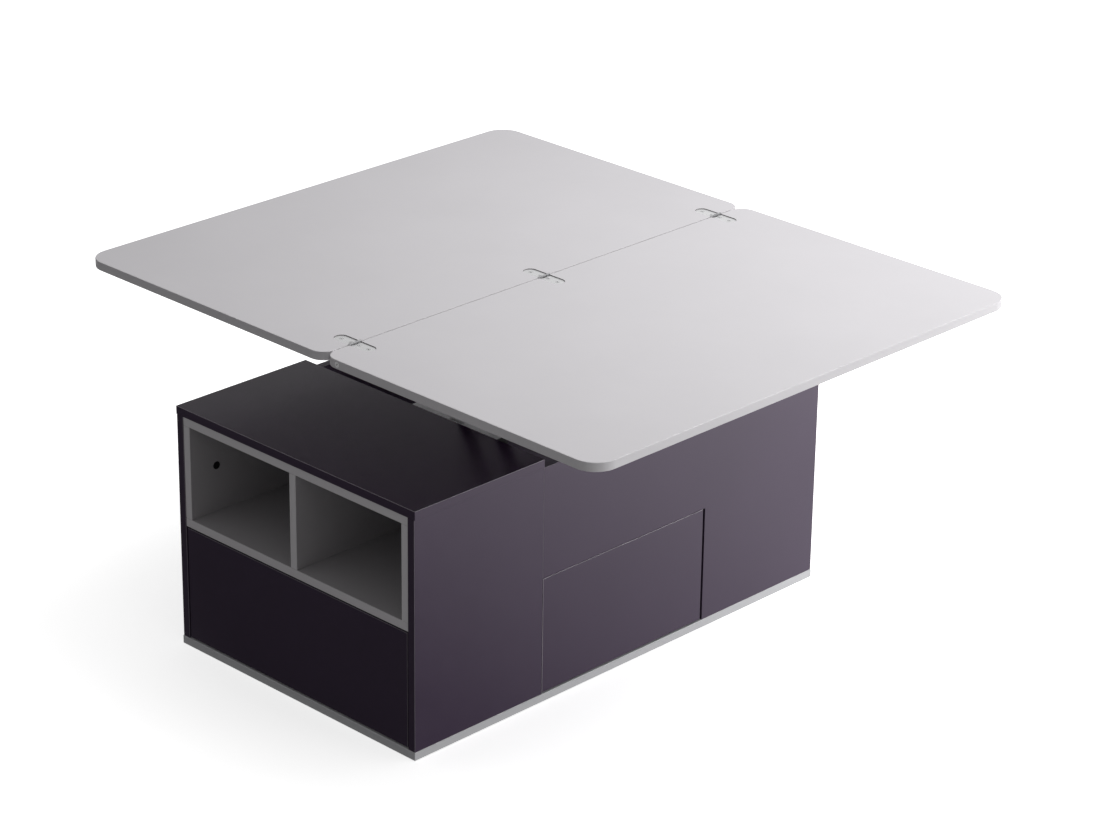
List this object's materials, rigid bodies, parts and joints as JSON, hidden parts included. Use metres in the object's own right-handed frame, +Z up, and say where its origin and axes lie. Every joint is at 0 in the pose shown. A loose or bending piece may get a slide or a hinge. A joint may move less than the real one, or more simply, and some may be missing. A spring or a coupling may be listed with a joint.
{
  "type": "convertible coffee dining table",
  "caption": "Storage coffee table with open cubbies and handle-less drawers; its two-leaf top lifts on parallel arms, shifts sideways and unfolds into a dining table.",
  "frame": {"origin": "on the floor, under the middle of the base board", "axes": "+Z up; +X towards the long wall with the side drawer, the way the top moves out; -Y towards the end with the open cubbies"},
  "size_m": [1.24, 1.026, 0.6786],
  "materials": {
    "dark_laminate": "satin aubergine-black melamine laminate on board",
    "leaf_laminate": "matt light grey laminate on board",
    "cubby_laminate": "matt mid grey melamine on board",
    "plinth_laminate": "silver grey laminate on board",
    "drawer_laminate": "matt grey melamine on board",
    "pale_steel": "pale grey powder coat",
    "black_steel": "satin black powder coat",
    "zinc_steel": "bright zinc plate",
    "hinge_chrome": "polished chrome plate",
    "buffer_rubber": "black moulded rubber",
    "pad_felt": "grey pressed felt",
    "black_plastic": "matt black moulding",
    "grey_plastic": "matt grey moulding"
  },
  "bodies": {
    "base": {"base_board": "plinth_laminate", "bay_floor": "dark_laminate", "bay_partition": "dark_laminate", "channel_screws": "zinc_steel", "cubby_back": "cubby_laminate", "cubby_cap": "black_plastic", "cubby_divider": "cubby_laminate", "cubby_floor": "cubby_laminate", "cubby_left": "cubby_laminate", "cubby_right": "cubby_laminate", "cubby_top": "cubby_laminate", "end_drawer_rails": "zinc_steel", "far_end": "dark_laminate", "far_side_left": "dark_laminate", "far_side_right": "dark_laminate", "lift_channel_far": "pale_steel", "lift_channel_near": "pale_steel", "lift_stops": "buffer_rubber", "lower_rivets": "zinc_steel", "near_back": "dark_laminate", "near_side_left": "dark_laminate", "near_side_right": "dark_laminate", "near_top": "dark_laminate", "side_drawer_rails": "zinc_steel"},
    "lift_front": {"front_arm_far": "black_steel", "front_arm_near": "black_steel", "front_cross_tube": "black_steel"},
    "lift_rear": {"rear_arm_far": "black_steel", "rear_arm_near": "black_steel", "rear_cross_tube": "black_steel"},
    "top_frame": {"bracket_screws": "zinc_steel", "edge_plugs": "grey_plastic", "hinge_pins": "hinge_chrome", "hinge_plate_right_far": "hinge_chrome", "hinge_plate_right_middle": "hinge_chrome", "hinge_plate_right_near": "hinge_chrome", "hinge_screws_right": "hinge_chrome", "rest_pads": "pad_felt", "right_leaf": "leaf_laminate", "top_bracket_far": "pale_steel", "top_bracket_near": "pale_steel", "upper_rivets": "zinc_steel"},
    "fold_leaf": {"hinge_plate_left_far": "hinge_chrome", "hinge_plate_left_middle": "hinge_chrome", "hinge_plate_left_near": "hinge_chrome", "hinge_screws_left": "hinge_chrome", "left_leaf": "leaf_laminate"},
    "side_drawer": {"side_drawer_back": "drawer_laminate", "side_drawer_bottom": "drawer_laminate", "side_drawer_front": "dark_laminate", "side_drawer_side_far": "drawer_laminate", "side_drawer_side_near": "drawer_laminate", "side_drawer_slides": "zinc_steel"},
    "end_drawer": {"end_drawer_back": "drawer_laminate", "end_drawer_bottom": "drawer_laminate", "end_drawer_front": "dark_laminate", "end_drawer_side_left": "drawer_laminate", "end_drawer_side_right": "drawer_laminate", "end_drawer_slides": "zinc_steel"}
  },
  "joints": [
    {"name": "lift", "type": "hinge", "parent": "base", "child": "lift_front", "pos_m": [0.132, 0, 0.41851], "axis": [0, -1, 0], "range_deg": [0, 119]},
    {"name": "rear_swing", "type": "hinge", "parent": "base", "child": "lift_rear", "pos_m": [0.017, 0, 0.38351], "axis": [0, -1, 0], "range_deg": [0, 119]},
    {"name": "top_level", "type": "hinge", "parent": "lift_front", "child": "top_frame", "pos_m": [0.27475, 0, 0.63582], "axis": [0, -1, 0], "range_deg": [-119, 0]},
    {"name": "fold", "type": "hinge", "parent": "top_frame", "child": "fold_leaf", "pos_m": [0.09201, 0, 0.67612], "axis": [0, 1, 0], "range_deg": [0, 180]},
    {"name": "side_drawer_slide", "type": "slide", "parent": "base", "child": "side_drawer", "axis": [1, 0, 0], "range_m": [0, 0.38]},
    {"name": "end_drawer_slide", "type": "slide", "parent": "base", "child": "end_drawer", "axis": [0, -1, 0], "range_m": [0, 0.18]}
  ],
  "couplings": [
    {"joint": "rear_swing", "follows": "lift", "ratio": 1},
    {"joint": "top_level", "follows": "lift", "ratio": -1}
  ]
}
